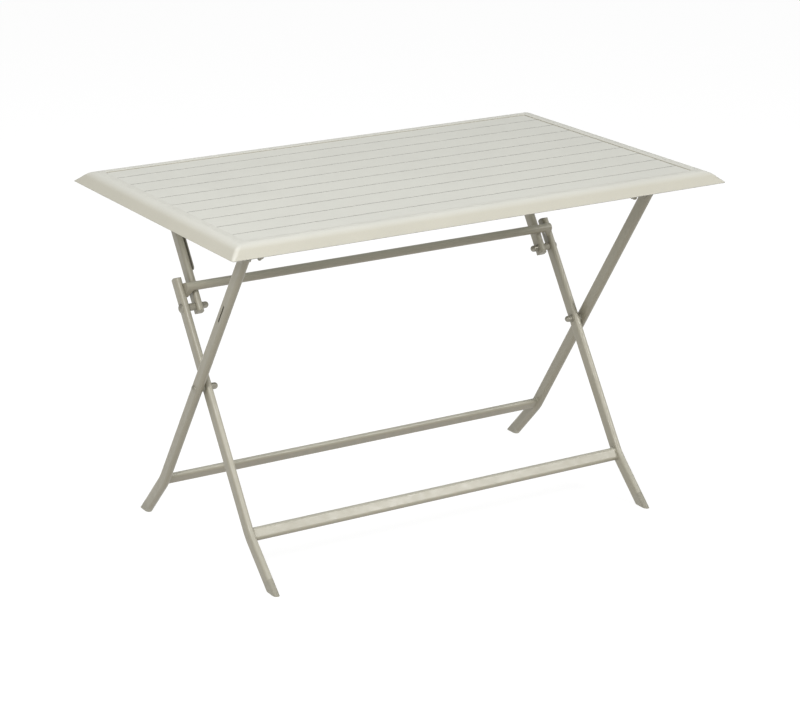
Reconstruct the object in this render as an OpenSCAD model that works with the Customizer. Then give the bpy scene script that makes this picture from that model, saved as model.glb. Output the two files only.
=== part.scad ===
// Folding picnic table: a slatted aluminium top carried by two crossed leg
// frames.  The outer frame hinges under the front of the top.  The inner
// frame crosses it and carries two short hangers that hinge under the back.
// X runs along the table, -Y is the front, Z is up, the floor is Z = 0.

/* [Tabletop] */
// Length of the top along X
top_length = 1100; // [900:10:1400]
// Width of the top along Y
top_width = 704; // [500:2:900]
// Height of the rim's upper face above the floor
top_height = 720; // [600:0.5:800]
// Height of the rim section
rim_height = 22.5; // [18:0.5:40]
// Width of the rim section seen from above
rim_width = 50; // [30:1:80]
// Width of the sloped outer face of the rim
rim_slope_width = 23.7; // [10:0.5:40]
// Radius of the soft crease between the sloped face and the flat top
rim_crease_radius = 37; // [5:1:60]
// Wall of the rim extrusion
rim_wall = 1.5; // [1:0.1:3]
// Ledge under the slat ends
rim_ledge = 16; // [8:1:30]
// Radius of the rim corners seen from above
rim_corner_radius = 5; // [2:1:30]
// Number of slats
slat_count = 10; // [6:1:14]
// Distance from one slat to the next
slat_pitch = 62.7; // [40:0.1:90]
// Gap between slats
slat_gap = 2; // [0.5:0.1:5]
// Thickness of a slat
slat_thickness = 12; // [8:0.5:20]
// Wall of a slat
slat_wall = 1; // [0.8:0.1:2]
// Chamfer along the upper edges of a slat
slat_chamfer = 0.3; // [0.1:0.1:2]
// Step from the rim down to the slats
slat_step = 1.5; // [0.5:0.1:4]

/* [Leg tubes] */
// Wide side of the oval leg tube
tube_wide = 28; // [20:1:40]
// Thin side of the oval leg tube
tube_thin = 14; // [10:1:25]
// Wall of the leg tube
tube_wall = 1.5; // [1:0.1:3]
// Centre of the outer legs from the middle of the table
outer_x = 457; // [400:1:500]
// Centre of the inner legs from the middle of the table
inner_x = 435.4; // [380:0.2:480]
// Centre of the hangers from the middle of the table
hanger_x = 406.5; // [350:0.5:450]
// Lean of the outer legs from upright
outer_lean = 34.54; // [20:0.01:45]
// Lean of the inner legs from upright
inner_lean = 33.3; // [20:0.005:45]
// Lean of the outer feet from upright
outer_foot_lean = 45; // [30:0.5:60]
// Lean of the inner feet from upright
inner_foot_lean = 47; // [30:0.5:60]
// Crossing to the bend of the outer legs, along the leg
outer_bend_at = 299.8; // [200:0.1:400]
// Crossing to the bend of the inner legs, along the leg
inner_bend_at = 305.4; // [200:0.1:400]
// Centre-line radius of the leg bends
bend_radius = 120; // [60:5:200]
// Crossing to the upper end of the inner legs
inner_top = 224; // [180:1:300]

/* [Pivots] */
// Y of the pivot where the legs cross
cross_y = 3.7; // [-50:0.1:50]
// Z of the pivot where the legs cross
cross_z = 341.6; // [250:0.1:450]
// Outer pivot under the top, from the crossing along the leg
front_pivot_at = 384.71; // [300:0.01:450]
// Hanger pivot on the inner leg, from the crossing along the leg
hanger_pivot_at = 165; // [100:0.1:220]
// Hanger length between its pivots
hanger_length = 197.84; // [150:0.01:250]
// Hanger tube past its lower pivot
hanger_tail = 12; // [8:1:25]
// Bolt diameter
bolt_diameter = 8; // [5:0.5:12]
// Clearance round a bolt in a turning tube
bolt_clearance = 0.3; // [0.1:0.05:0.6]

/* [Bars] */
// Wide side of the lower bars
bar_wide = 27; // [18:1:40]
// Thin side of the lower bars
bar_thin = 13; // [8:1:25]
// Lower outer bar from the crossing along the leg
outer_bar_at = 296.7; // [200:0.1:400]
// Lower inner bar from the crossing along the leg
inner_bar_at = 304.5; // [200:0.1:400]
// Diameter of the round upper bar
upper_bar_diameter = 18; // [12:1:30]
// Upper bar from the crossing along the inner leg
upper_bar_at = 200.3; // [150:0.1:250]
// Upper bar in front of the inner leg's centre line
upper_bar_offset = 23.2; // [15:0.1:40]

/* [Feet] */
// Length of a foot cap along its leg
foot_height = 25; // [15:1:60]
// Length of the spigot that holds a foot cap in its tube
foot_spigot = 22; // [10:1:40]

/* [Brackets] */
// Thickness of the bracket plate
plate = 2.5; // [1.5:0.5:5]
// Width of the rails under the slats
rail_width = 40; // [20:1:60]
// Wall of the rails
rail_wall = 1.5; // [1:0.1:3]
// Radius of a bracket cheek round its bolt
cheek_radius = 8.5; // [8:0.5:20]
// Half width of a bracket where it meets the rail
cheek_half = 21; // [14:1:40]

/* [View] */
// Sub-part to show

/* [Hidden] */
$fn = 48;
fit_gap = 0.1;
half_length = top_length / 2;
half_width = top_width / 2;
rim_bottom = top_height - rim_height;
slat_top = top_height - slat_step;
slat_bottom = slat_top - slat_thickness;
slat_half = half_length - rim_width - 1;
slat_field = half_width - rim_width - 1;
rim_ledge_z = slat_bottom - rim_bottom;
rail_bottom = slat_bottom - 10;
rail_half = half_width - rim_width - rim_ledge - 0.5;
rail_inner = outer_x - tube_thin / 2 - 0.5 - rail_width;
rim_slope = (rim_height - 1.5) / rim_slope_width;
key_near = 28;
key_arm = 95;
key_height = 15;
outer_inside = outer_x - tube_thin / 2;
inner_outside = inner_x + tube_thin / 2;
inner_inside = inner_x - tube_thin / 2;
hanger_outside = hanger_x + tube_thin / 2;
hanger_inside = hanger_x - tube_thin / 2;
front_bracket_x = outer_inside - 1;
front_bracket_width = 24.5;
back_bracket_x = hanger_outside + 1.5;
back_bracket_width = 11;
tilt_outer = outer_lean;
tilt_inner = -inner_lean;
front_pivot_y = cross_y - front_pivot_at * sin(outer_lean);
front_pivot_z = cross_z + front_pivot_at * cos(outer_lean);
hanger_reach = hanger_pivot_at + hanger_length;
outer_bend = outer_foot_lean - outer_lean;
inner_bend = inner_foot_lean - inner_lean;
outer_foot_run = foot_run(outer_lean, outer_foot_lean, outer_bend_at);
inner_foot_run = foot_run(inner_lean, inner_foot_lean, inner_bend_at);
back_pivot_y = cross_y + hanger_reach * sin(inner_lean);
back_pivot_z = cross_z + hanger_reach * cos(inner_lean);
slot_length = 48;
slot_width = 3.5;
slot_at = 227;
strap_from = 72;
strap_to = 152;
strap_width = 12;
strap_plate = 2;
rivet_at = 80;

coat = [0.80, 0.79, 0.75];
slat_coat = [0.84, 0.84, 0.82];
steel = [0.66, 0.66, 0.65];
plastic = [0.55, 0.54, 0.50];

// ---- shared helpers --------------------------------------------------

// Straight length of a foot's tube, from its bend down to its cap
function foot_run(lean, foot_lean, bend_at) =
  (cross_z - bend_at * cos(lean)) / cos(foot_lean)
  - bend_radius * tan((foot_lean - lean) / 2) - foot_height;

// Copies a right-hand piece to the side given by the sign
module at_side(side) {
  mirror([side < 0 ? 1 : 0, 0, 0]) children();
}

// Flat-sided oval, wide along X
module oval(wide, thin) {
  reach = (wide - thin) / 2;
  square([2 * reach, thin], center = true);
  for (s = [-1, 1]) translate([s * reach, 0]) circle(thin / 2, $fn = 48);
}

// Flat-sided oval tube section, wide along X
module oval_ring(wide, thin, wall) {
  difference() {
    oval(wide, thin);
    oval(wide - 2 * wall, thin - 2 * wall);
  }
}

// Frame with Z along a leg and its origin at the crossing
module leg_frame(tilt) {
  translate([0, cross_y, cross_z]) rotate([tilt, 0, 0]) children();
}

// Round bar along X from one X to another
module rod(from, to, diameter) {
  translate([from, 0, 0]) rotate([0, 90, 0])
    cylinder(h = to - from, d = diameter);
}

// Low domed head whose flat face is at X = 0, domed towards +X
module dome_head(diameter, height) {
  radius = (diameter * diameter / 4 + height * height) / (2 * height);
  rotate([0, 90, 0]) rotate_extrude(angle = 360, $fn = 64) intersection() {
    translate([0, height - radius]) circle(radius, $fn = 128);
    square([diameter / 2, height]);
  }
}

// Domed nut on a washer; flat face at X = 0, dome towards -X
module domed_nut(length) {
  ball = 6.7;
  mirror([1, 0, 0]) rotate([0, 90, 0]) rotate_extrude(angle = 360, $fn = 64) {
    square([8.5, 1.5]);
    square([ball, length - ball]);
    translate([0, length - ball]) intersection() {
      circle(ball, $fn = 64);
      square(ball);
    }
  }
}

// Frame at the end of a leg's foot; the leg bends towards Y by the sign s
module foot_frame(bend_at, angle, s, foot) {
  run = bend_radius * tan(angle / 2);
  translate([0, s * bend_radius, run - bend_at]) rotate([s * angle, 0, 0])
    translate([0, -s * bend_radius, -foot]) children();
}

// Straight run, bend and foot of a leg; the first child is the section of the
// straight parts, the second is a hair fuller and laps over them at the bend
module leg_path(top, bend_at, angle, s, foot) {
  run = bend_radius * tan(angle / 2);
  lap = 0.5;
  translate([0, 0, run - bend_at - lap]) linear_extrude(top + bend_at - run + lap)
    rotate(90) children(0);
  translate([0, s * bend_radius, run - bend_at])
    rotate([-90, 0, 0]) rotate([0, s * 90, 0])
      rotate_extrude(angle = angle, $fn = 96)
        translate([bend_radius, 0]) children(1);
  foot_frame(bend_at, angle, s, foot) linear_extrude(foot + lap)
    rotate(90) children(0);
}

// Leg tube section, grown by a hair for the bend
module tube_ring(grow) {
  oval_ring(tube_wide + grow, tube_thin + grow, tube_wall + grow);
}

// Solid leg section
module tube_solid(grow) {
  oval(tube_wide + grow, tube_thin + grow);
}

// Cap that ends a leg flush with its tube, drawn at the end of the tube
module foot_cap() {
  translate([0, 0, -2 * foot_height - tube_wide])
    linear_extrude(2 * foot_height + tube_wide) rotate(90) oval(tube_wide, tube_thin);
  linear_extrude(foot_spigot) rotate(90)
    oval(tube_wide - 2 * tube_wall - 0.2, tube_thin - 2 * tube_wall - 0.2);
}

// Half space over the floor
module over_floor() {
  translate([-1000, -1000, 0]) cube([2000, 2000, 1000]);
}

// Domed plug for the open end of a tube at Z = 0
module end_plug(rise) {
  radius = (tube_wide * tube_wide / 4 + rise * rise) / (2 * rise);
  intersection() {
    linear_extrude(rise) rotate(90) oval(tube_wide, tube_thin);
    translate([0, 0, rise - radius]) rod(-tube_wide, tube_wide, 2 * radius);
  }
  translate([0, 0, -14]) linear_extrude(14) rotate(90)
    oval(tube_wide - 2 * tube_wall - 0.2, tube_thin - 2 * tube_wall - 0.2);
}

// ---- tabletop --------------------------------------------------------

// Points of the soft crease at a depth under the face, slope first
function crease(depth, steps) =
  let (angle = atan(rim_slope), radius = rim_crease_radius - depth,
       middle = rim_slope_width + rim_crease_radius * tan(angle / 2))
  [for (i = [0:steps]) let (turn = angle * (1 - i / steps))
    [middle - radius * sin(turn), rim_height - depth - radius * (1 - cos(turn))]];

// Rim section; X runs inwards from the outer edge, Y is up from the rim's foot
module rim_section() {
  drop = rim_wall * sqrt(1 + rim_slope * rim_slope);
  difference() {
    polygon(concat(
      [[1.5, 0], [0, 1.5]], crease(0, 9),
      [[rim_width - 1, rim_height], [rim_width, rim_height - 1],
       [rim_width, rim_ledge_z], [rim_width + rim_ledge, rim_ledge_z],
       [rim_width + rim_ledge, rim_ledge_z - 2], [rim_width, rim_ledge_z - 2],
       [rim_width, 0]]
    ));
    polygon(concat(
      [[drop / rim_slope, rim_wall]], crease(rim_wall, 5),
      [[rim_width - rim_wall, rim_height - rim_wall], [rim_width - rim_wall, rim_wall]]
    ));
  }
}

// Outline of the top with rounded corners
module top_outline() {
  r = rim_corner_radius;
  square([top_length, top_width - 2 * r], center = true);
  square([top_length - 2 * r, top_width], center = true);
  for (x = [-1, 1], y = [-1, 1])
    translate([x * (half_length - r), y * (half_width - r)]) circle(r);
}

// One mitred rim; span is its length, reach is its distance from the middle
module rim(span, reach, turn) {
  deep = rim_width + rim_ledge + 1;
  half = span / 2 - fit_gap;
  intersection() {
    rotate(turn) translate([-span / 2, -reach, rim_bottom])
      rotate([90, 0, 90]) linear_extrude(span) rim_section();
    rotate(turn) translate([0, -reach, rim_bottom - 1])
      linear_extrude(rim_height + 2)
        polygon([[-half, 0], [half, 0], [half - deep, deep], [deep - half, deep]]);
    translate([0, 0, rim_bottom - 1]) linear_extrude(rim_height + 2)
      top_outline();
  }
}

module rim_front() { color(coat) rim(top_length, half_width, 0); }
module rim_right() { color(coat) rim(top_width, half_length, 90); }
module rim_back() { color(coat) rim(top_length, half_width, 180); }
module rim_left() { color(coat) rim(top_width, half_length, 270); }

// Angle pieces pressed into the hollow rims at the mitres
module corner_keys() {
  width = rim_width - rim_wall - 0.5 - key_near;
  color(plastic)
    for (x = [0, 1], y = [0, 1]) mirror([x, 0, 0]) mirror([0, y, 0])
      translate([-half_length, -half_width, rim_bottom + rim_wall + 0.1]) {
        translate([key_near, key_near, 0]) cube([key_arm - key_near, width, key_height]);
        translate([key_near, key_near, 0]) cube([width, key_arm - key_near, key_height]);
      }
}

// One hollow slat, counted from the front; a lip closes the gap before it
module slat(number) {
  near = (number - slat_count / 2 - 1) * slat_pitch + slat_gap / 2;
  far = near + slat_pitch - slat_gap;
  from = max(near, -slat_field);
  to = min(far, slat_field);
  c = slat_chamfer;
  w = slat_wall;
  color(slat_coat)
    translate([-slat_half, 0, slat_bottom]) rotate([90, 0, 90])
      linear_extrude(2 * slat_half) difference() {
        union() {
          polygon([
            [from, 0], [to, 0], [to, slat_thickness - c], [to - c, slat_thickness],
            [from + c, slat_thickness], [from, slat_thickness - c]
          ]);
          if (number > 1)
            translate([from - slat_gap + 0.3, 3]) square([slat_gap + 1, 1.5]);
        }
        translate([from + w, w]) square([to - from - 2 * w, slat_thickness - 2 * w - 0.4]);
      }
}

module slat_01() { slat(1); }
module slat_02() { slat(2); }
module slat_03() { slat(3); }
module slat_04() { slat(4); }
module slat_05() { slat(5); }
module slat_06() { slat(6); }
module slat_07() { slat(7); }
module slat_08() { slat(8); }
module slat_09() { slat(9); }
module slat_10() { slat(10); }

// Screw places on one bracket, given its pivot Y and its plate's X range
module screw_places(y, x) {
  for (s = [-1, 1]) translate([x, y + s * 14, 0]) children();
}

// Rail under the slats that carries both brackets of one side
module rail(side) {
  tall = slat_bottom - rail_bottom;
  color(coat) at_side(side) difference() {
    translate([rail_inner, -rail_half, rail_bottom])
      cube([rail_width, 2 * rail_half, tall]);
    translate([rail_inner + rail_wall, -rail_half - 1, rail_bottom + rail_wall])
      cube([rail_width - 2 * rail_wall, 2 * rail_half + 2, tall - 2 * rail_wall]);
    screw_holes();
  }
}

module rail_left() { rail(-1); }
module rail_right() { rail(1); }

module screw_holes() {
  for (p = [[front_pivot_y, front_bracket_x - front_bracket_width / 2],
            [back_pivot_y, back_bracket_x + back_bracket_width / 2]])
    screw_places(p[0], p[1])
      translate([0, 0, rail_bottom - 4]) cylinder(h = 8, d = 4);
}

// Folded bracket: two cheeks and a web; X from near to near + width
module bracket(y, z, near, width) {
  difference() {
    union() {
      for (x = [near, near + width - plate])
        translate([x, 0, 0]) rotate([90, 0, 90]) linear_extrude(plate) {
          translate([y, z]) circle(cheek_radius);
          polygon([
            [y - cheek_radius, z], [y + cheek_radius, z],
            [y + cheek_half, rail_bottom - plate], [y + cheek_half, rail_bottom],
            [y - cheek_half, rail_bottom], [y - cheek_half, rail_bottom - plate]
          ]);
        }
      translate([near, y - cheek_half, rail_bottom - plate])
        cube([width, 2 * cheek_half, plate]);
    }
    translate([0, y, z]) rod(near - 1, near + width + 1, bolt_diameter);
    screw_holes();
  }
}

module front_bracket(side) {
  color(coat) at_side(side) bracket(front_pivot_y, front_pivot_z,
    front_bracket_x - front_bracket_width, front_bracket_width);
}
module front_bracket_left() { front_bracket(-1); }
module front_bracket_right() { front_bracket(1); }

module back_bracket(side) {
  color(coat) at_side(side) bracket(back_pivot_y, back_pivot_z,
    back_bracket_x, back_bracket_width);
}
module back_bracket_left() { back_bracket(-1); }
module back_bracket_right() { back_bracket(1); }

// Pan-head screws that hold the brackets to the rails
module bracket_screws() {
  color(steel)
    for (side = [-1, 1]) at_side(side)
      for (p = [[front_pivot_y, front_bracket_x - front_bracket_width / 2],
                [back_pivot_y, back_bracket_x + back_bracket_width / 2]])
        screw_places(p[0], p[1]) {
          translate([0, 0, rail_bottom - plate - 1.5]) cylinder(h = 1.5, d = 5.6);
          translate([0, 0, rail_bottom - plate - 0.5])
            cylinder(h = plate + 0.5 + rail_wall + 1, d = 4);
        }
}

// Bolt through an outer leg and its bracket
module front_bolt(side) {
  color(steel) at_side(side) translate([0, front_pivot_y, front_pivot_z]) {
    rod(front_bracket_x - front_bracket_width - 1, outer_x + tube_thin / 2 + 0.2,
      bolt_diameter);
    translate([outer_x + tube_thin / 2 + 0.2, 0, 0]) dome_head(16, 3.5);
    rod(front_bracket_x + fit_gap, outer_inside - fit_gap, 16);
    rod(front_bracket_x - front_bracket_width - 5,
      front_bracket_x - front_bracket_width - fit_gap, 13);
  }
}
module front_bolt_left() { front_bolt(-1); }
module front_bolt_right() { front_bolt(1); }

// Bolt through a hanger and its bracket
module back_bolt(side) {
  color(steel) at_side(side) translate([0, back_pivot_y, back_pivot_z]) {
    rod(hanger_inside - 0.2, back_bracket_x + back_bracket_width + 1, bolt_diameter);
    translate([hanger_inside - 0.2, 0, 0]) mirror([1, 0, 0]) dome_head(16, 3.5);
    rod(hanger_outside + fit_gap, back_bracket_x - fit_gap, 16);
    rod(back_bracket_x + back_bracket_width + fit_gap,
      back_bracket_x + back_bracket_width + 3, 12);
  }
}
module back_bolt_left() { back_bolt(-1); }
module back_bolt_right() { back_bolt(1); }

// ---- outer frame -----------------------------------------------------

module outer_path() {
  leg_path(front_pivot_at + 8, outer_bend_at, outer_bend, 1, outer_foot_run) {
    children(0);
    children(1);
  }
}

// Outer leg with its bores and the shallow slot in its outer face
module outer_leg(side) {
  bore = bolt_diameter + 2 * bolt_clearance;
  color(coat) at_side(side) difference() {
    translate([outer_x, 0, 0]) leg_frame(tilt_outer)
      outer_path() {
        tube_ring(0);
        tube_ring(0.1);
      }
    leg_frame(tilt_outer) {
      rod(outer_inside - 1, outer_x + tube_thin, bolt_diameter);
      translate([0, 0, front_pivot_at]) rod(outer_inside - 1, outer_x + tube_thin, bore);
      translate([outer_x + 3, 0, slot_at]) rotate([90, 0, 90]) linear_extrude(10) {
        square([slot_width, slot_length - slot_width], center = true);
        for (s = [-1, 1]) translate([0, s * (slot_length - slot_width) / 2])
          circle(slot_width / 2);
      }
    }
  }
}
module outer_leg_left() { outer_leg(-1); }
module outer_leg_right() { outer_leg(1); }

// Oval bar along X between a pair of legs, coped to their path
module lower_bar(reach, at, tilt) {
  difference() {
    leg_frame(tilt) translate([-reach, 0, -at]) rotate([0, 90, 0])
      linear_extrude(2 * reach) oval_ring(bar_wide, bar_thin, tube_wall);
    for (s = [-1, 1]) translate([s * reach, 0, 0]) leg_frame(tilt) children();
  }
}

module outer_lower_bar() {
  color(coat) lower_bar(outer_x, outer_bar_at, tilt_outer)
    outer_path() {
      tube_solid(0.02);
      tube_solid(0.12);
    }
}

module outer_end_plugs() {
  color(plastic) for (s = [-1, 1]) translate([s * outer_x, 0, 0])
    leg_frame(tilt_outer) translate([0, 0, front_pivot_at + 8])
      difference() {
        end_plug(7);
        translate([0, 0, -8]) rod(-tube_wide, tube_wide, bolt_diameter + 2);
      }
}

// Plastic cap, cut flat on the floor
module outer_foot(side) {
  color(plastic) at_side(side) intersection() {
    translate([outer_x, 0, 0]) leg_frame(tilt_outer)
      foot_frame(outer_bend_at, outer_bend, 1, outer_foot_run) foot_cap();
    over_floor();
  }
}
module outer_foot_left() { outer_foot(-1); }
module outer_foot_right() { outer_foot(1); }

// Bolt where the legs cross; it turns in the inner leg
module cross_bolt(side) {
  color(steel) at_side(side) leg_frame(0) {
    rod(inner_inside - 3, outer_x + tube_thin / 2, bolt_diameter);
    translate([outer_x + tube_thin / 2, 0, 0]) dome_head(18, 5);
  }
}
module cross_bolt_left() { cross_bolt(-1); }
module cross_bolt_right() { cross_bolt(1); }

module cross_spacers() {
  color(plastic) for (side = [-1, 1]) at_side(side) leg_frame(0) difference() {
    rod(inner_outside + 0.15, outer_inside, 15);
    rod(inner_outside - 1, outer_inside + 1, bolt_diameter);
  }
}

module cross_nuts() {
  color(steel) for (side = [-1, 1]) at_side(side) leg_frame(0) difference() {
    translate([inner_inside - 0.15, 0, 0]) domed_nut(15.5);
    rod(inner_inside - 3, inner_inside + 1, bolt_diameter);
  }
}

// ---- inner frame -----------------------------------------------------

module inner_path() {
  leg_path(inner_top, inner_bend_at, inner_bend, -1, inner_foot_run) {
    children(0);
    children(1);
  }
}

module inner_leg(side) {
  bore = bolt_diameter + 2 * bolt_clearance;
  color(coat) at_side(side) difference() {
    translate([inner_x, 0, 0]) leg_frame(tilt_inner)
      inner_path() {
        tube_ring(0);
        tube_ring(0.1);
      }
    leg_frame(tilt_inner) {
      rod(inner_inside - 1, inner_outside + 1, bore);
      translate([0, 0, hanger_pivot_at])
        rod(inner_inside - 1, inner_outside + 1, bolt_diameter);
    }
  }
}
module inner_leg_left() { inner_leg(-1); }
module inner_leg_right() { inner_leg(1); }

module inner_lower_bar() {
  color(coat) lower_bar(inner_x, inner_bar_at, tilt_inner)
    inner_path() {
      tube_solid(0.02);
      tube_solid(0.12);
    }
}

// Frame at the upper bar
module upper_bar_frame() {
  leg_frame(tilt_inner) translate([0, -upper_bar_offset, upper_bar_at]) children();
}

module upper_bar() {
  inside = upper_bar_diameter - 2 * tube_wall;
  color(coat) upper_bar_frame() difference() {
    rod(1 - inner_inside, inner_inside - 1, upper_bar_diameter);
    rod(-inner_inside, inner_inside, inside);
  }
}

// Welded gusset that joins the upper bar to the front of the inner leg
module bar_saddle(side) {
  seat = upper_bar_offset - tube_wide / 2 + 4;
  color(coat) at_side(side) difference() {
    upper_bar_frame() hull() {
      rod(inner_inside - 12, inner_inside + 2.5, upper_bar_diameter + 0.2);
      for (z = [-14, 9]) translate([0, seat, z])
        rod(inner_inside - 2, inner_inside + 2.5, 6);
    }
    upper_bar_frame() rod(inner_inside - 13, inner_inside - 1, upper_bar_diameter);
    translate([inner_x, 0, 0]) leg_frame(tilt_inner) translate([0, 0, 100])
      linear_extrude(120) rotate(90) oval(tube_wide + 0.02, tube_thin + 0.02);
  }
}
module bar_saddle_left() { bar_saddle(-1); }
module bar_saddle_right() { bar_saddle(1); }

module inner_end_plugs() {
  color(plastic) for (s = [-1, 1]) translate([s * inner_x, 0, 0])
    leg_frame(tilt_inner) translate([0, 0, inner_top]) end_plug(4);
}

module inner_foot(side) {
  color(plastic) at_side(side) intersection() {
    translate([inner_x, 0, 0]) leg_frame(tilt_inner)
      foot_frame(inner_bend_at, inner_bend, -1, inner_foot_run) foot_cap();
    over_floor();
  }
}
module inner_foot_left() { inner_foot(-1); }
module inner_foot_right() { inner_foot(1); }

// Leg half of the bolt that joins an inner leg to its hanger
module hanger_bolt(side) {
  color(steel) at_side(side) leg_frame(tilt_inner)
    translate([0, 0, hanger_pivot_at]) {
      rod(hanger_outside + 1, inner_outside, bolt_diameter);
      translate([inner_outside, 0, 0]) dome_head(20, 5.6);
    }
}
module hanger_bolt_left() { hanger_bolt(-1); }
module hanger_bolt_right() { hanger_bolt(1); }

module hanger_spacers() {
  color(coat) for (side = [-1, 1]) at_side(side) leg_frame(tilt_inner)
    translate([0, 0, hanger_pivot_at]) difference() {
      rod(hanger_outside + 0.6, inner_inside, 15);
      rod(hanger_outside - 1, inner_inside + 1, bolt_diameter);
    }
}

// ---- hangers ---------------------------------------------------------

// Frame with Z up along the hangers and its origin at their lower pivot
module hanger_frame() {
  leg_frame(tilt_inner) translate([0, 0, hanger_pivot_at]) children();
}

module hanger(side) {
  bore = bolt_diameter + 2 * bolt_clearance;
  color(coat) at_side(side) hanger_frame() difference() {
    translate([hanger_x, 0, -hanger_tail]) linear_extrude(hanger_length + 20 + hanger_tail)
      rotate(90) oval_ring(tube_wide, tube_thin, tube_wall);
    rod(hanger_inside - 1, hanger_outside + 1, bolt_diameter);
    translate([0, 0, hanger_length]) rod(hanger_inside - 1, hanger_outside + 1, bore);
  }
}
module hanger_left() { hanger(-1); }
module hanger_right() { hanger(1); }

// Plugs in both ends of a hanger
module hanger_plugs(side) {
  color(plastic) at_side(side) hanger_frame() translate([hanger_x, 0, 0]) {
    difference() {
      translate([0, 0, -hanger_tail]) mirror([0, 0, 1]) end_plug(3);
      rod(-tube_wide, tube_wide, bolt_diameter);
    }
    translate([0, 0, hanger_length + 20]) difference() {
      end_plug(3);
      translate([0, 0, -20]) rod(-tube_wide, tube_wide, bolt_diameter + 2);
    }
  }
}
module hanger_plugs_left() { hanger_plugs(-1); }
module hanger_plugs_right() { hanger_plugs(1); }

// Hanger half of the bolt, with its domed nut
module hanger_nut(side) {
  color(steel) at_side(side) hanger_frame() {
    translate([hanger_inside, 0, 0]) domed_nut(16);
    rod(hanger_inside - 2, hanger_outside + 0.3, bolt_diameter);
  }
}
module hanger_nut_left() { hanger_nut(-1); }
module hanger_nut_right() { hanger_nut(1); }

// Flat latch strap on the inner face of the left hanger
module latch_strap() {
  color(plastic) at_side(-1) hanger_frame()
    translate([hanger_inside - strap_plate, 0, 0]) rotate([90, 0, 90])
      linear_extrude(strap_plate) difference() {
        union() {
          translate([-9 - strap_width / 2, strap_from + strap_width / 2])
            square([strap_width, strap_to - strap_from - strap_width / 2]);
          translate([-9, strap_from + strap_width / 2]) circle(strap_width / 2);
          translate([-9 - strap_width / 2 - 6, strap_to - 7]) square([8, 7]);
        }
        for (z = [rivet_at, strap_to - 12]) translate([-9, z]) circle(2);
      }
}

// Rivets of the latch strap
module strap_rivets() {
  color(steel) at_side(-1) hanger_frame()
    for (z = [rivet_at, strap_to - 12]) translate([hanger_inside, -9, z]) {
      rod(-strap_plate, 0, 4);
      translate([-strap_plate, 0, 0]) mirror([1, 0, 0]) dome_head(7, 1.6);
    }
}

// ---- picked sub-parts ------------------------------------------------
rim_front();
rim_back();
rim_left();
rim_right();
corner_keys();
slat_01();
slat_02();
slat_03();
slat_04();
slat_05();
slat_06();
slat_07();
slat_08();
slat_09();
slat_10();
rail_left();
rail_right();
front_bracket_left();
front_bracket_right();
back_bracket_left();
back_bracket_right();
bracket_screws();
front_bolt_left();
front_bolt_right();
back_bolt_left();
back_bolt_right();
outer_leg_left();
outer_leg_right();
outer_lower_bar();
outer_end_plugs();
outer_foot_left();
outer_foot_right();
cross_bolt_left();
cross_bolt_right();
cross_spacers();
cross_nuts();
inner_leg_left();
inner_leg_right();
inner_lower_bar();
upper_bar();
bar_saddle_left();
bar_saddle_right();
inner_end_plugs();
inner_foot_left();
inner_foot_right();
hanger_bolt_left();
hanger_bolt_right();
hanger_spacers();
hanger_left();
hanger_plugs_left();
hanger_nut_left();
latch_strap();
strap_rivets();
hanger_right();
hanger_plugs_right();
hanger_nut_right();
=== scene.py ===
"""Looks for the folding picnic table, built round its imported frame."""

import math
import random

import bmesh
import bpy
from mathutils import Matrix, Vector


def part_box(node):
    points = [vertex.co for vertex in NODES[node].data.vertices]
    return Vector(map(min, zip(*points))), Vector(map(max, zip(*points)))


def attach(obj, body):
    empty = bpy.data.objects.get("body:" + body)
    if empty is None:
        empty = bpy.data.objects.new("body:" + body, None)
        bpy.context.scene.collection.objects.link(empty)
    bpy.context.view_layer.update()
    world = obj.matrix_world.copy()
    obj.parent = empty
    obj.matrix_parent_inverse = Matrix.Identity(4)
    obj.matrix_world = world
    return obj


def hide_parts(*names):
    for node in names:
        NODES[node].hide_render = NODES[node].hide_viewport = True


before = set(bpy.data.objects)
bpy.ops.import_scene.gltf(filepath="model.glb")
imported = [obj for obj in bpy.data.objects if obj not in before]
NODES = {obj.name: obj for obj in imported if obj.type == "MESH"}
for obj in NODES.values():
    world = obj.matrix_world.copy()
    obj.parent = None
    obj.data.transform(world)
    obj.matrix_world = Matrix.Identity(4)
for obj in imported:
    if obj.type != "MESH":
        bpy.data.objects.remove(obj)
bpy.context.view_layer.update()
MM = 0.001

# Section and corner of the rims, in millimetres
RIM_WIDTH = 50.0
RIM_SLOPE_WIDTH = 23.7
RIM_LIP = 1.5
RIM_CREASE_RADIUS = 37.0
RIM_CREASE_STEPS = 16
RIM_CORNER_STEPS = 8
OUTER_CORNER_RADIUS = 9.5
INNER_CORNER_RADIUS = 3.5
SHARP_CORNER_RADIUS = 0.5
LEDGE_WIDTH = 16.0
LEDGE_DROP = 13.5
LEDGE_THICK = 2.0

# Lower bars and their weld beads, in millimetres
CROSS_Y, CROSS_Z = 3.7, 341.6
BAR_WIDE, BAR_THIN = 27.0, 13.0
BEAD_RADIUS = 1.5
BEAD_SWELL = 0.12
BEAD_STEPS = 64
BEAD_SIDES = 10


# ---- camera ----------------------------------------------------------

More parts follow.
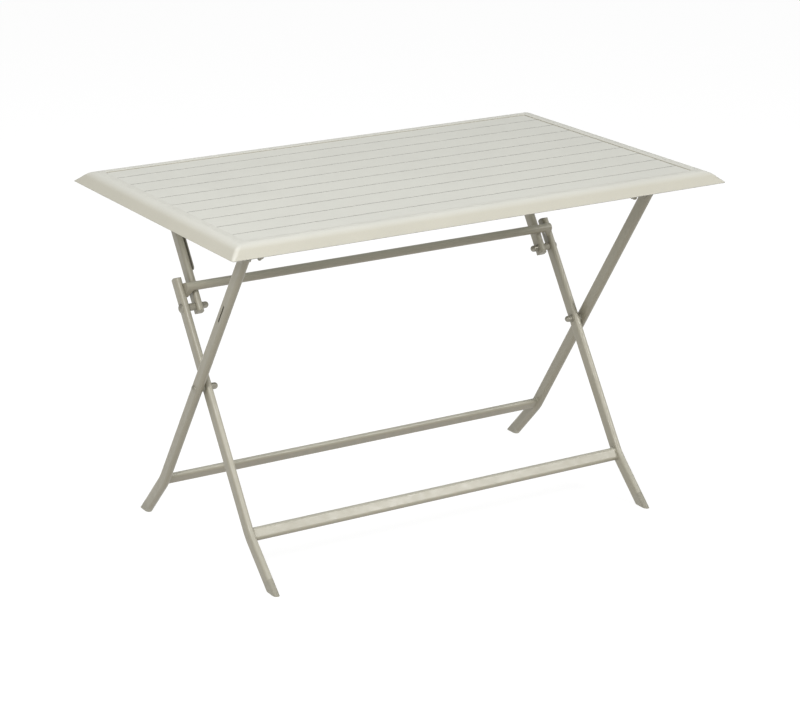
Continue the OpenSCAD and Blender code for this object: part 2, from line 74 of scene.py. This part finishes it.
def make_camera():
    """Long lens, a little above the table and turned to its left."""
    turn, rise, roll = (math.radians(a) for a in (-30.58, 18.09, -0.34))
    target = Vector((0.0025, 0.0016, 0.3330))
    right = Vector((math.cos(turn), math.sin(turn), 0))
    back = Vector((math.sin(turn) * math.cos(rise), -math.cos(turn) * math.cos(rise), math.sin(rise)))
    up = back.cross(right)
    across = math.cos(roll) * right + math.sin(roll) * up
    tall = -math.sin(roll) * right + math.cos(roll) * up
    data = bpy.data.cameras.new("camera")
    data.lens = 109.32
    data.sensor_width = 36
    data.sensor_fit = "HORIZONTAL"
    data.clip_end = 60
    distance = 4.9705
    camera = bpy.data.objects.new("camera", data)
    turned = Matrix((across, tall, back)).transposed().to_4x4()
    camera.matrix_world = Matrix.Translation(target + back * distance) @ turned
    bpy.context.scene.collection.objects.link(camera)
    bpy.context.scene.camera = camera


# ---- materials -------------------------------------------------------

class Shader:
    """A Principled material with short calls for its texture nodes."""

    def __init__(self, name, color, roughness, **sockets):
        self.material = bpy.data.materials.new(name)
        self.material.use_nodes = True
        self.tree = self.material.node_tree
        self.bsdf = self.tree.nodes["Principled BSDF"]
        self.bsdf.inputs["Base Color"].default_value = (*color, 1)
        self.bsdf.inputs["Roughness"].default_value = roughness
        for key, value in sockets.items():
            self.bsdf.inputs[key.replace("_", " ")].default_value = value
        self.place = self.tree.nodes.new("ShaderNodeTexCoord").outputs["Object"]

    def noise(self, scale, detail=2.0, stretch=(1, 1, 1)):
        mapping = self.tree.nodes.new("ShaderNodeMapping")
        mapping.inputs["Scale"].default_value = stretch
        self.tree.links.new(self.place, mapping.inputs["Vector"])
        node = self.tree.nodes.new("ShaderNodeTexNoise")
        node.inputs["Scale"].default_value = scale
        node.inputs["Detail"].default_value = detail
        self.tree.links.new(mapping.outputs["Vector"], node.inputs["Vector"])
        return node.outputs["Fac"]

    def spread(self, value, low, high, start=0.3, stop=0.7):
        node = self.tree.nodes.new("ShaderNodeMapRange")
        for key, number in (("From Min", start), ("From Max", stop), ("To Min", low), ("To Max", high)):
            node.inputs[key].default_value = number
        self.tree.links.new(value, node.inputs["Value"])
        return node.outputs["Result"]

    def ramp(self, value, stops):
        node = self.tree.nodes.new("ShaderNodeValToRGB")
        elements = node.color_ramp.elements
        while len(elements) < len(stops):
            elements.new(0.5)
        for element, (place, color) in zip(elements, stops):
            element.position = place
            element.color = (*color, 1)
        self.tree.links.new(value, node.inputs["Fac"])
        return node.outputs["Color"]

    def mix(self, kind, factor, a, b):
        node = self.tree.nodes.new("ShaderNodeMix")
        node.data_type = "RGBA"
        node.blend_type = kind
        node.inputs["Factor"].default_value = factor
        self.tree.links.new(a, node.inputs["A"])
        self.tree.links.new(b, node.inputs["B"])
        return node.outputs["Result"]

    def link(self, value, socket):
        self.tree.links.new(value, self.bsdf.inputs[socket])

    def bump(self, layers):
        """Stacks (height, distance in metres, strength) layers."""
        normal = None
        for height, distance, strength in layers:
            node = self.tree.nodes.new("ShaderNodeBump")
            node.inputs["Distance"].default_value = distance
            node.inputs["Strength"].default_value = strength
            self.tree.links.new(height, node.inputs["Height"])
            if normal:
                self.tree.links.new(normal, node.inputs["Normal"])
            normal = node.outputs["Normal"]
        self.link(normal, "Normal")


def powder_coat(name, color, roughness, peel, painted_shade_stops=None):
    """Baked powder: fine orange peel, faint clouding and a soft sheen."""
    s = Shader(name, color, roughness)
    darker = tuple(c * 0.985 for c in color)
    lighter = tuple(min(1, c * 1.01) for c in color)
    cloud = s.noise(9, 4)
    fleck = s.noise(900, 2)
    tone = s.ramp(cloud, [(0.35, darker), (0.5, color), (0.68, lighter)])
    grain = s.ramp(fleck, [(0.3, (0.93, 0.93, 0.93)), (0.7, (1, 1, 1))])
    s.link(s.mix("MULTIPLY", 1.0, tone, grain), "Base Color")
    s.link(s.spread(s.noise(60, 3), roughness - 0.05, roughness + 0.08), "Roughness")
    # Painted shade: the coat is darkened by where each face points
    if painted_shade_stops:
        paint_shade_by_normal(s, painted_shade_stops)
    s.bump([(s.noise(420, 2), 0.0004, peel), (s.noise(1500, 1), 0.00015, peel)])
    return s.material


def paint_shade_by_normal(s, stops):
    """Paints shade into the coat by where a face points, from straight down (0) to straight up (1)."""
    split = s.tree.nodes.new("ShaderNodeSeparateXYZ")
    coords = s.tree.nodes.new("ShaderNodeTexCoord")
    s.tree.links.new(coords.outputs["Normal"], split.inputs["Vector"])
    tone = s.ramp(s.spread(split.outputs["Z"], 0, 1, -1, 1), stops)
    old = s.bsdf.inputs["Base Color"].links[0].from_socket
    s.link(s.mix("MULTIPLY", 1.0, old, tone), "Base Color")


def moulded_plastic(name, color):
    s = Shader(name, color, 0.55)
    tone = s.ramp(s.noise(25, 3), [(0.3, tuple(c * 0.92 for c in color)), (0.7, color)])
    s.link(tone, "Base Color")
    s.link(s.spread(s.noise(150, 3), 0.45, 0.62), "Roughness")
    s.bump([(s.noise(700, 2), 0.0003, 0.4)])
    return s.material


def turned_steel(name, color):
    s = Shader(name, color, 0.4, Metallic=0.35)
    s.link(s.ramp(s.noise(120, 3), [(0.3, tuple(c * 0.82 for c in color)), (0.7, color)]), "Base Color")
    s.link(s.spread(s.noise(300, 2), 0.3, 0.5), "Roughness")
    s.bump([(s.noise(900, 1), 0.0002, 0.3)])
    return s.material


FRAME_COLOR = (0.44, 0.425, 0.355)
RIM_COLOR = (0.50, 0.497, 0.45)
SLAT_COLOR = (0.515, 0.515, 0.47)
CAP_COLOR = (0.31, 0.293, 0.235)
STEEL_COLOR = (0.31, 0.293, 0.24)
# The strap shares the frame's greige, painted darker as shade where it sits on the hanger's inner face
STRAP_SHADED_COLOR = (0.24, 0.225, 0.18)

# Strength of the orange peel
PEEL, STRAP_PEEL = 0.2, 0.35

# Painted shade by where a face points: 0 is straight down, 0.5 level, 1 straight up; the darkest stop stands
# for deep shade, the plain one leaves the coat as it is
PLAIN, DEEP_PAINTED_SHADE = (1, 1, 1), (0.16, 0.155, 0.14)
# Rim: painted shade, very dark on faces that tilt down, darker and warmer on upright faces and the slope,
# plain on the flat top
RIM_PAINTED_SHADE = [(0.05, PLAIN), (0.1, DEEP_PAINTED_SHADE), (0.4, DEEP_PAINTED_SHADE), (0.5, (0.78, 0.745, 0.67)),
            (0.9, (0.87, 0.845, 0.79)), (0.99, PLAIN)]
# Frame: painted shade, darkest on faces that point down, lighter towards faces that point up
FRAME_PAINTED_SHADE = [(0.1, (0.5, 0.465, 0.41)), (0.5, (0.66, 0.635, 0.58)), (0.75, (0.9, 0.88, 0.84)), (0.95, PLAIN)]
# Slats: painted shade, the groove walls between slats and faces that tilt down are darkened strongly, the
# tops left plain
SLAT_PAINTED_SHADE = [(0.05, PLAIN), (0.2, DEEP_PAINTED_SHADE), (0.65, DEEP_PAINTED_SHADE), (0.93, PLAIN)]

frame_coat = powder_coat("frame_coat", FRAME_COLOR, 0.34, PEEL, FRAME_PAINTED_SHADE)
rim_coat = powder_coat("rim_coat", RIM_COLOR, 0.45, PEEL, RIM_PAINTED_SHADE)
slat_coat = powder_coat("slat_coat", SLAT_COLOR, 0.42, PEEL, SLAT_PAINTED_SHADE)
strap_coat = powder_coat("strap_coat", STRAP_SHADED_COLOR, 0.4, STRAP_PEEL)
cap_plastic = moulded_plastic("cap_plastic", CAP_COLOR)
steel = turned_steel("fastener_steel", STEEL_COLOR)


def dress(obj, material):
    obj.data.materials.clear()
    obj.data.materials.append(material)


for name, obj in NODES.items():
    if name.startswith("slat"):
        dress(obj, slat_coat)
    elif name.startswith("rim"):
        dress(obj, rim_coat)
    elif any(word in name for word in ("bolt", "nut", "rivet", "screw")):
        dress(obj, steel)
    elif any(word in name for word in ("foot", "plug", "key", "spacer")):
        dress(obj, cap_plastic)
    elif name == "latch_strap":
        dress(obj, strap_coat)
    else:
        dress(obj, frame_coat)


# ---- softly rounded pieces ------------------------------------------

def add_mesh(name, points, faces, material, body, smooth_angle=35):
    data = bpy.data.meshes.new(name)
    data.from_pydata([tuple(p) for p in points], [], faces)
    obj = bpy.data.objects.new(name, data)
    bpy.context.scene.collection.objects.link(obj)
    mesh = bmesh.new()
    mesh.from_mesh(data)
    bmesh.ops.recalc_face_normals(mesh, faces=mesh.faces)
    mesh.to_mesh(data)
    mesh.free()
    data.shade_smooth()
    data.set_sharp_from_angle(angle=math.radians(smooth_angle))
    dress(obj, material)
    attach(obj, body)
    return obj


def rim_profile(height):
    """(inset, height, corner radius) round one rim, from its lower outer edge."""
    slope = math.atan2(height - RIM_LIP, RIM_SLOPE_WIDTH)
    middle = RIM_SLOPE_WIDTH + RIM_CREASE_RADIUS * math.tan(slope / 2)
    start = middle - RIM_CREASE_RADIUS * math.sin(slope)
    ledge_z = height - LEDGE_DROP
    rows = [(2.2, 0.0, 4.0), (1.1, 0.5, 4.5), (0.35, 1.0, 5.0), (0.05, 1.4, 5.5)]
    rows += [(t, RIM_LIP + t * math.tan(slope), radius)
             for t, radius in ((0.5, 6.0), (start * 0.2, 7.5), (start * 0.5, 9.0), (start * 0.8, 9.5))]
    for i in range(RIM_CREASE_STEPS + 1):
        share = i / RIM_CREASE_STEPS
        turn = slope * (1 - share)
        rows.append((middle - RIM_CREASE_RADIUS * math.sin(turn),
                     height - RIM_CREASE_RADIUS * (1 - math.cos(turn)),
                     OUTER_CORNER_RADIUS + (INNER_CORNER_RADIUS - OUTER_CORNER_RADIUS) * share))
    rows += [(RIM_WIDTH - 1.0, height, 1.2), (RIM_WIDTH - 0.4, height - 0.15, 0.8),
             (RIM_WIDTH - 0.1, height - 0.5, 0.6)]
    rows += [(inset, z, SHARP_CORNER_RADIUS) for inset, z in (
        (RIM_WIDTH, height - 1.1), (RIM_WIDTH, ledge_z), (RIM_WIDTH + LEDGE_WIDTH, ledge_z),
        (RIM_WIDTH + LEDGE_WIDTH, ledge_z - LEDGE_THICK), (RIM_WIDTH, ledge_z - LEDGE_THICK),
        (RIM_WIDTH, 0.0))]
    return rows


def make_rim(side, turn):
    """One mitred rim, facing `turn` degrees; its corners run smoothly into its neighbours."""
    low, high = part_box("rim_front")[0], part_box("rim_right")[1]
    length, depth = high[0] / MM, -low[1] / MM
    foot = low[2] / MM
    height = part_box("rim_front")[1][2] / MM - foot
    rows = rim_profile(height)
    points = []
    for inset, z, radius in rows:
        x, y = length - inset - radius, depth - inset - radius
        for end in (-1, 1):
            corner = math.radians(turn + 45 * end)
            centre = (x * math.copysign(1, math.cos(corner)), y * math.copysign(1, math.sin(corner)))
            for i in range(RIM_CORNER_STEPS + 1):
                share = i / RIM_CORNER_STEPS
                angle = math.radians(turn + 45 * end * (share if end > 0 else 1 - share))
                points.append((MM * (centre[0] + radius * math.cos(angle)),
                               MM * (centre[1] + radius * math.sin(angle)), MM * (foot + z)))
    columns = 2 * (RIM_CORNER_STEPS + 1)
    count = len(rows)
    faces = []
    for r in range(count):
        here, after = r * columns, (r + 1) % count * columns
        faces += [(here + c, here + c + 1, after + c + 1, after + c) for c in range(columns - 1)]
    faces += [[r * columns for r in range(count)], [r * columns + columns - 1 for r in range(count)]]
    rim = add_mesh("soft_rim_" + side, points, faces, rim_coat, "top")
    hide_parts("rim_" + side)


for side, turn in (("front", 270), ("back", 90), ("left", 180), ("right", 0)):
    make_rim(side, turn)


def weld_bead(name, body, place, lean):
    """Bead round the end of a flat-sided lower bar, which lies wide along its leg."""
    centre = Vector(place) * MM
    along = Vector((0, -math.sin(lean), math.cos(lean)))
    across = Vector((0, math.cos(lean), math.sin(lean)))
    rng = random.Random(7)
    points, faces = [], []
    for i in range(BEAD_STEPS):
        angle = 2 * math.pi * i / BEAD_STEPS
        side, rise = math.cos(angle), math.sin(angle)
        flat = math.copysign((BAR_WIDE - BAR_THIN) / 2, rise) if abs(rise) > 1e-6 else 0
        swell = BEAD_RADIUS * (1 + BEAD_SWELL * rng.random())
        for j in range(BEAD_SIDES):
            turn = 2 * math.pi * j / BEAD_SIDES
            reach = BAR_THIN / 2 + swell * math.cos(turn)
            points.append(centre + MM * (across * (side * reach) + along * (flat + rise * reach)
                                         + Vector((swell * math.sin(turn), 0, 0))))
    for i in range(BEAD_STEPS):
        here, after = i * BEAD_SIDES, (i + 1) % BEAD_STEPS * BEAD_SIDES
        for j in range(BEAD_SIDES):
            m = (j + 1) % BEAD_SIDES
            faces.append((here + j, after + j, after + m, here + m))
    add_mesh(name, points, faces, frame_coat, body, 60)


# Bar, body, X of the legs' inner faces, lean, distance along the leg from the crossing
for bar, body, reach, lean, at in (("outer", "outer_frame", 450.0, 34.54, 296.7),
                                   ("inner", "inner_frame", 428.4, -33.3, 304.5)):
    tilt = math.radians(lean)
    for word, sign in (("left", -1), ("right", 1)):
        place = (sign * reach, CROSS_Y + at * math.sin(tilt), CROSS_Z - at * math.cos(tilt))
        weld_bead("weld_%s_%s" % (bar, word), body, place, tilt)


# ---- floor and light -------------------------------------------------

def make_floor():
    data = bpy.data.meshes.new("floor")
    data.from_pydata([(-30, -30, 0), (30, -30, 0), (30, 30, 0), (-30, 30, 0)], [], [(0, 1, 2, 3)])
    floor = bpy.data.objects.new("floor", data)
    bpy.context.scene.collection.objects.link(floor)
    s = Shader("floor", (0.12, 0.12, 0.12), 0.9)
    s.bsdf.inputs["Specular IOR Level"].default_value = 0
    s.bsdf.inputs["Emission Color"].default_value = (1, 1, 1, 1)
    s.bsdf.inputs["Emission Strength"].default_value = 0.93
    dress(floor, s.material)


def area_light(name, place, aim, size, power):
    data = bpy.data.lights.new(name, "AREA")
    data.shape = "DISK"
    data.size = size
    data.energy = power
    light = bpy.data.objects.new(name, data)
    light.location = place
    light.rotation_euler = (Vector(aim) - Vector(place)).to_track_quat("-Z", "Y").to_euler()
    bpy.context.scene.collection.objects.link(light)


def make_light():
    world = bpy.data.worlds.new("studio")
    world.use_nodes = True
    world.node_tree.nodes["Background"].inputs["Color"].default_value = (1, 1, 1, 1)
    world.node_tree.nodes["Background"].inputs["Strength"].default_value = 0.3
    bpy.context.scene.world = world
    area_light("key", (-0.7, 0.7, 4.3), (0, 0, 0.5), 2.6, 104)
    area_light("front", (2.0, -2.7, 2.8), (0, 0, 0.35), 1.5, 80)
    area_light("left", (-2.35, -2.2, 2.35), (0, 0, 0.35), 1.3, 70)
    bpy.context.scene.view_settings.view_transform = "Standard"


make_camera()
make_floor()
make_light()
